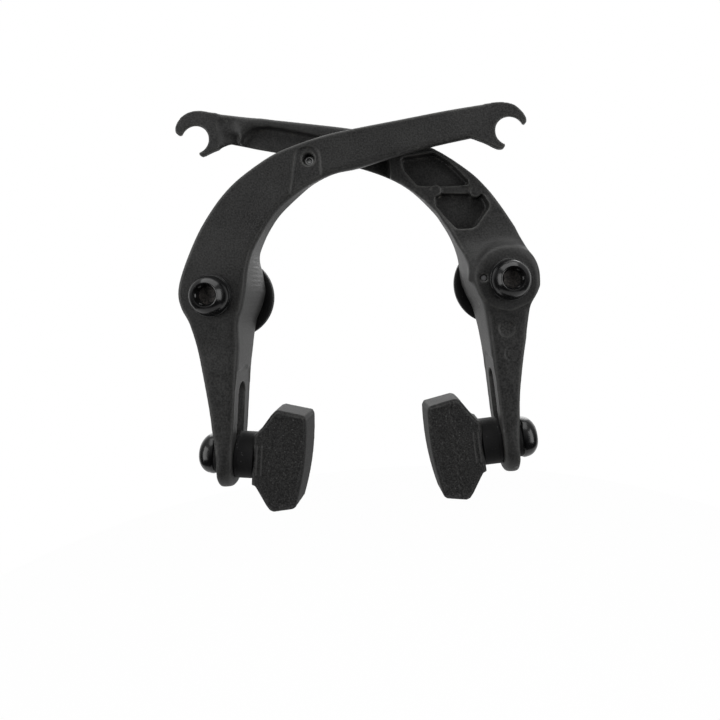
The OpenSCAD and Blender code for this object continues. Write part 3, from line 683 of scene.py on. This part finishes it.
class UBRAKE_OT_spring_adjusters(Operator):
    """Spring adjusters: discs behind the arms with two spanner flats"""
    bl_idname = "ubrake.spring_adjusters"
    bl_label = "Spring adjusters"

    def execute(self, context):
        for side in SIDES:
            low, high = box_of(f"{side}_spring_adjuster")
            r, flat, bore = (high.x - low.x) / 2, (high.z - low.z) / 2, 4.8
            rings = []
            profile = [(bore + 0.2, low.y), (r * 0.62, low.y), (r * 0.64, low.y + 0.12), (r * 0.8, low.y + 0.12),
                       (r * 0.82, low.y), (r - 0.9, low.y), (r - 0.4, low.y + 0.14), (r - 0.12, low.y + 0.4),
                       (r, low.y + 0.8), (r, high.y - 0.5), (r - 0.14, high.y - 0.15), (r - 0.5, high.y),
                       (r * 0.86, high.y), (r * 0.85, high.y - 0.15), (r * 0.6, high.y - 0.15), (r * 0.59, high.y),
                       (bore + 0.2, high.y), (bore, high.y - 0.2), (bore, low.y + 0.2)]
            segments = 144
            for radius, height in profile:
                ring = []
                for k in range(segments):
                    angle = 2 * pi * k / segments
                    limit = flat - (r - radius if radius > r - 1 else 0)
                    reach = min(radius, limit / max(abs(sin(angle)), 1e-6)) if radius > flat - 2 else radius
                    ring.append((reach * cos(angle), reach * sin(angle), height))
                rings.append(ring)
            vertices = [p for ring in rings for p in ring]
            faces = [(i * segments + k, i * segments + (k + 1) % segments,
                      (i + 1) % len(rings) * segments + (k + 1) % segments, (i + 1) % len(rings) * segments + k)
                     for i in range(len(rings)) for k in range(segments)]
            piece = placed_mesh(f"{side}_adjuster", vertices, faces, pivot_axes(side), finish_of(satin_black), 30)
            claim(piece, f"{side}_spring_adjuster", "fixed_pivots")
        return {"FINISHED"}


class UBRAKE_OT_springs(Operator):
    """Torsion springs coiled round the pivots, fixed in place"""
    bl_idname = "ubrake.springs"
    bl_label = "Torsion springs"

    def execute(self, context):
        turns, wire = 3, 0.75
        for side in SIDES:
            low, high = box_of(f"{side}_spring")
            mirror = 1 if side == "left" else -1
            r = (high.x - low.x) / 2 - wire
            rear = -3.35 - wire - 0.9
            front = rear - turns * 1.9
            start = radians(7)
            line = [(0, high.y), (0, rear + 1.4), (0.03, rear + 0.5), (0.1, rear + 0.08)]
            line += [(2 * pi * turns * k / 150 + 0.16, rear - (rear - front) * k / 150) for k in range(146)]
            line += [(2 * pi * turns - 0.1, front - 0.08), (2 * pi * turns - 0.03, front - 0.5),
                     (2 * pi * turns, front - 1.4), (2 * pi * turns, low.y + 0.6)]
            curve = bpy.data.curves.new(f"{side}_coil", "CURVE")
            curve.dimensions = "3D"
            curve.bevel_depth = wire * MM
            curve.bevel_resolution = 5
            curve.use_fill_caps = True
            spline = curve.splines.new("POLY")
            spline.points.add(len(line) - 1)
            for point, (turn, y) in zip(spline.points, line):
                point.co = ((pivot_of(side) + mirror * r * cos(start + turn)) * MM, y * MM,
                            r * sin(start + turn) * MM, 1)
            holder = bpy.data.objects.new(f"{side}_coil_path", curve)
            bpy.context.scene.collection.objects.link(holder)
            mesh = bpy.data.meshes.new_from_object(holder.evaluated_get(context.evaluated_depsgraph_get()))
            bpy.data.objects.remove(holder)
            mesh.polygons.foreach_set("use_smooth", [True] * len(mesh.polygons))
            mesh.set_sharp_from_angle(angle=radians(40))
            mesh.materials.clear()
            mesh.materials.append(finish_of(SPRING_STEEL))
            piece = bpy.data.objects.new(f"{side}_coil", mesh)
            context.scene.collection.objects.link(piece)
            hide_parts(f"{side}_spring")
            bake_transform(piece)
        return {"FINISHED"}


class UBRAKE_OT_set_screw(Operator):
    """Small bright set screw in the left arm"""
    bl_idname = "ubrake.set_screw"
    bl_label = "Set screw"

    def execute(self, context):
        low, high = box_of("set_screw")
        r = (high.x - low.x) / 2
        middle = (low + high) / 2
        basis = Matrix(((1, 0, 0, middle.x), (0, 0, 1, 0), (0, 1, 0, middle.z), (0, 0, 0, 1)))
        half, head = 0.65, low.y + 1.1
        shape = [(0, high.y), (r - 0.4, high.y), (r, high.y - 0.4)]
        y = high.y - 0.6
        while y > head + 0.8:
            shape += [(r, y), (r - 0.2, y - 0.25), (r, y - 0.5)]
            y -= 0.5
        shape += [(r, head + 0.35), (r - 0.12, head + 0.12), (r - 0.35, head), (half * 1.3, head),
                  (half * 1.16, head + 0.15, half), (half * 1.16, head + 1.3, half), (0, head + 1.5)]
        claim(turned("centring_screw", shape, basis, finish_of(BRIGHT_SCREW), 48, 30),
              "set_screw", "left_arm_body")
        return {"FINISHED"}


# Pads

class PadSettings(PropertyGroup):
    colour: FloatVectorProperty(name="Rubber", description="Colour of the pads", subtype="COLOR",
                                default=(0.0212, 0.0211, 0.0208), min=0, max=1)
    voxel: FloatProperty(name="Mesh size", description="Size of the mesh over the pads",
                         default=0.00028, min=0.0002, max=0.001, unit="LENGTH")
    passes: IntProperty(name="Edge easing", description="Smoothing passes over the pads", default=8, min=0)
    ridge: FloatProperty(name="Ridge", description="Height of the moulded ridges near the back of a pad",
                         default=0.0003, min=0.0, max=0.0006, unit="LENGTH")
    seam: FloatProperty(name="Mould seam", description="Depth of the crooked seam down the pad's sides",
                        default=0.00025, min=0.0, max=0.0006, unit="LENGTH")


class UBRAKE_OT_pads(Operator):
    """Moulded pads with a curved braking face, ridges and a mould seam"""
    bl_idname = "ubrake.pads"
    bl_label = "Pads"

    def execute(self, context):
        look = context.scene.ubrake_pads
        for side in SIDES:
            node = f"{side}_pad"
            basis = post_axes(side)
            low, high = extent(node, basis)
            mesh, points, edges = even_mesh(frame["nodes"][node], look.voxel)
            points = relaxed(points, edges, look.passes)
            turn = np.array(basis.inverted())
            p, y, q = (points / MM @ turn[:3, :3].T + turn[:3, 3]).T
            back, face, half = low[0], high[0], (high[2] - low[2]) / 2
            outward = np.sign(y)
            side_face = ramp(np.abs(y), high[1] - 0.5, high[1] - 0.15)
            ends = 1 - ramp(np.abs(q), half * 0.28, half * 0.32)
            bars = sum(1 - ramp(np.abs(p - back - at), 0.12, 0.42) for at in (1.3, 2.7))
            lift = look.ridge / MM * bars * ends
            crook = back + 7.9 + 0.25 * np.sin(q * 1.3) + 0.18 * np.sin(q * 3.1 + 1)
            lift -= look.seam / MM * (1 - ramp(np.abs(p - crook), 0.1, 0.35)) * (1 if side == "right" else 0.3)
            lift -= 0.16 * ramp(face - p, 1.2, 1.7) * ramp(p - back, 5.0, 5.6) * (1 - ramp(np.abs(q), half - 2.4, half - 1.8))
            lift += 0.05 * np.sin(p * 2.1 + q * 1.1) * np.sin(q * 1.9 - p * 0.7)
            offset = np.outer(lift * side_face * outward, (0, 1, 0)) * MM
            piece = bpy.data.objects.new(f"{side}_rubber", moved(mesh, points + offset, finish_of(pad_rubber)))
            context.scene.collection.objects.link(piece)
            claim(piece, node, f"{side}_pad_head")
        return {"FINISHED"}


class UBRAKE_OT_pad_hardware(Operator):
    """Posts, domed nuts and the washers with ball faces"""
    bl_idname = "ubrake.pad_hardware"
    bl_label = "Pad hardware"

    def execute(self, context):
        tilt_bore, bore, half, c = 3.6, 3.04, 2.5, 0.15
        for side in SIDES:
            basis = turned_post_axes(side)
            size = {name: extent(f"{side}_{name}", basis) for name in
                    ("pad_post", "inner_dome_washer", "cup_washer", "outer_dome_washer", "pad_nut")}
            low, high = size["pad_post"]
            r = high[0]
            shape = [(0, low[2]), (r - 0.4, low[2]), (r, low[2] + 0.4), (r, high[2]), (0, high[2])]
            claim(turned(f"{side}_stud", shape, basis, finish_of(PLATED_POST)),
                  f"{side}_pad_post", f"{side}_pad_head")

            low, high = size["inner_dome_washer"]
            washer_r, seat = high[0], low[2]
            crest = high[2]
            ball = sqrt(crest ** 2 + tilt_bore ** 2)
            shape = [(tilt_bore, seat), (washer_r - c, seat), (washer_r, seat + c), *arc(ball, washer_r, tilt_bore)]
            claim(turned(f"{side}_inner_dome", shape, basis, finish_of(satin_black)),
                  f"{side}_inner_dome_washer", f"{side}_slider")

            back = size["cup_washer"][1][2]
            shape = [(washer_r, back - c), (washer_r - c, back), (bore, back), *arc(ball + 0.05, bore, washer_r)]
            claim(turned(f"{side}_cup", shape, basis, finish_of(satin_black)),
                  f"{side}_cup_washer", f"{side}_pad_holder")

            low, high = size["outer_dome_washer"]
            outer_r, seat = high[0], high[2]
            ball = sqrt(low[2] ** 2 + tilt_bore ** 2)
            shape = [(tilt_bore, seat), (outer_r - c, seat), (outer_r, seat - c),
                     *[(r, -h) for r, h in arc(ball, outer_r, tilt_bore)]]
            claim(turned(f"{side}_outer_dome", shape, basis, finish_of(satin_black)),
                  f"{side}_outer_dome_washer", f"{side}_slider")

            low, high = size["pad_nut"]
            nut_r, reach = high[0], -low[2]
            dome = [(nut_r * 0.985 * sin(radians(a)), -reach + (reach - 5.1) * (1 - cos(radians(a))))
                    for a in range(78, 30, -4)]
            crest = dome[-1][1]
            shape = [(bore, -reach + 3.2), *[(r, -h) for r, h in arc(ball + 0.05, bore, outer_r)],
                     (nut_r - c, -4.1 + c), (nut_r, -4.1 - c), (nut_r, -4.8), *dome,
                     (half * 1.24, crest), (half * 1.17, crest + 0.2, half * 1.02),
                     (half * 1.16, crest + 0.5, half), (half * 1.16, -reach + 2.6, half), (0, -reach + 2.7),
                     (0, -reach + 3.2)]
            claim(turned(f"{side}_nut", shape, basis, finish_of(polished_black), 96, 30),
                  f"{side}_pad_nut", f"{side}_pad_holder")
        return {"FINISHED"}


# Studio

class StageSettings(PropertyGroup):
    world: FloatProperty(name="Ambient", description="Strength of the light from all round",
                         default=0.46, min=0, max=2)
    floor_glow: FloatProperty(name="Light from below", description="Strength of the light from below",
                              default=0.03, min=0, max=1)
    floor_radius: FloatProperty(name="Floor radius", description="Radius of the floor",
                                default=0.6, min=0.3, max=3, unit="LENGTH")
    side_light: FloatProperty(name="Side boxes", description="Power of each side light box",
                              default=1.6, min=0, max=50)
    top_light: FloatProperty(name="Top box", description="Power of the light box overhead",
                             default=2.4, min=0, max=50)
    rear_light: FloatProperty(name="Rear box", description="Power of the light box behind",
                              default=3.0, min=0, max=50)
    distance: FloatProperty(name="Camera distance", description="Distance from the arms' front faces",
                            default=0.15, min=0.05, max=2, unit="LENGTH")


def light_box(name, position, target, size, power):
    """A rectangular area light that looks at a point."""
    lamp = bpy.data.lights.new(name, "AREA")
    lamp.shape = "RECTANGLE"
    lamp.size, lamp.size_y, lamp.energy = size[0], size[1], power
    holder = bpy.data.objects.new(name, lamp)
    holder.location = position
    holder.rotation_euler = (Vector(target) - Vector(position)).to_track_quat("-Z", "Y").to_euler()
    bpy.context.scene.collection.objects.link(holder)


class UBRAKE_OT_stage(Operator):
    """White floor, soft light and the camera"""
    bl_idname = "ubrake.stage"
    bl_label = "Stage"

    def execute(self, context):
        look = context.scene.ubrake_stage
        scene = context.scene
        scene.view_settings.view_transform = "Standard"
        world = bpy.data.worlds.new("white studio")
        scene.world = world
        s = Shader(world)
        seen, mirrored = s.background_rays()
        direction = s.add("ShaderNodeSeparateXYZ", None, {0: s.add("ShaderNodeTexCoord", output="Generated")}, "Z")
        depth = s.add("ShaderNodeSeparateXYZ", None, {0: s.add("ShaderNodeTexCoord", output="Generated")}, "Y")
        room = look.floor_glow + direction.between(-0.25, 0.75) * look.world
        room = room + mirrored * depth.between(0.35, 0.75) * (1 - room)
        strength = seen + (1 - seen) * room
        light = s.add("ShaderNodeBackground", None, {"Color": (1, 1, 1), "Strength": strength})
        s.tree.links.new(light.socket, s.output.inputs["Surface"])

        material, s = new_shader("white floor")
        seen, mirrored = s.background_rays()
        paper = s.add("ShaderNodeBsdfDiffuse", None, {"Color": (0.6, 0.6, 0.6)})
        white = s.add("ShaderNodeEmission", None, {"Color": (1, 1, 1), "Strength": 1.0})
        both = s.add("ShaderNodeMixShader", None, {0: seen * 0.985 + mirrored * 0.35, 1: paper, 2: white})
        s.tree.links.new(both.socket, s.output.inputs["Surface"])
        level = CAD_BOX[0][2] - 0.3
        reach = look.floor_radius
        mesh = bpy.data.meshes.new("floor")
        ring = [(reach * cos(2 * pi * k / 48), reach * (0.75 + sin(2 * pi * k / 48)), level) for k in range(48)]
        mesh.from_pydata(ring, [], [tuple(range(48))])
        mesh.materials.append(material)
        floor = bpy.data.objects.new("floor", mesh)
        scene.collection.objects.link(floor)

        middle = (0, -0.012, -0.005)
        light_box("left box", (-0.42, -0.26, 0.02), middle, (0.3, 0.5), look.side_light)
        light_box("right box", (0.42, -0.26, 0.02), middle, (0.3, 0.5), look.side_light)
        light_box("top box", (0, -0.12, 0.5), middle, (0.7, 0.5), look.top_light)
        light_box("rear box", (0, 0.5, 0.3), middle, (0.8, 0.5), look.rear_light)

        camera = bpy.data.cameras.new("camera")
        focal_px = 539.0
        camera.sensor_width = 36
        camera.lens = focal_px / 720 * camera.sensor_width
        camera.shift_x = -(388 - 360) / 720
        camera.shift_y = -(360 - 310) / 720
        camera.clip_start, camera.clip_end = 0.005, 20
        holder = bpy.data.objects.new("camera", camera)
        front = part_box("left_arm")[0].y
        holder.location = (0.00736, front - look.distance, -0.00664)
        holder.rotation_euler = (radians(90), radians(3.11), 0)
        scene.collection.objects.link(holder)
        scene.camera = holder
        return {"FINISHED"}


PIECES = (UBRAKE_OT_arms, UBRAKE_OT_pivot_bolts, UBRAKE_OT_pivot_washers, UBRAKE_OT_spring_adjusters,
          UBRAKE_OT_springs, UBRAKE_OT_set_screw, UBRAKE_OT_pads, UBRAKE_OT_pad_hardware, UBRAKE_OT_stage)
SETTINGS = {"ubrake_arms": ArmSettings, "ubrake_hardware": HardwareSettings, "ubrake_pads": PadSettings,
            "ubrake_stage": StageSettings}


class UBRAKE_PT_panel(Panel):
    """Lists the brake's settings and pieces"""
    bl_idname = "UBRAKE_PT_panel"
    bl_label = "U-brake"
    bl_space_type = "VIEW_3D"
    bl_region_type = "UI"
    bl_category = "U-brake"

    def draw(self, context):
        for name, group in SETTINGS.items():
            box = self.layout.box()
            for prop in group.__annotations__:
                box.prop(getattr(context.scene, name), prop)
        for piece in PIECES:
            self.layout.operator(piece.bl_idname)


def register():
    for group in SETTINGS.values():
        bpy.utils.register_class(group)
    for name, group in SETTINGS.items():
        setattr(bpy.types.Scene, name, PointerProperty(type=group))
    for piece in PIECES:
        bpy.utils.register_class(piece)
    bpy.utils.register_class(UBRAKE_PT_panel)


def unregister():
    bpy.utils.unregister_class(UBRAKE_PT_panel)
    for piece in reversed(PIECES):
        bpy.utils.unregister_class(piece)
    for name in SETTINGS:
        delattr(bpy.types.Scene, name)
    for group in SETTINGS.values():
        bpy.utils.unregister_class(group)


def main():
    register()
    for piece in PIECES:
        group, name = piece.bl_idname.split(".")
        getattr(getattr(bpy.ops, group), name)()


if __name__ == "__main__":
    main()
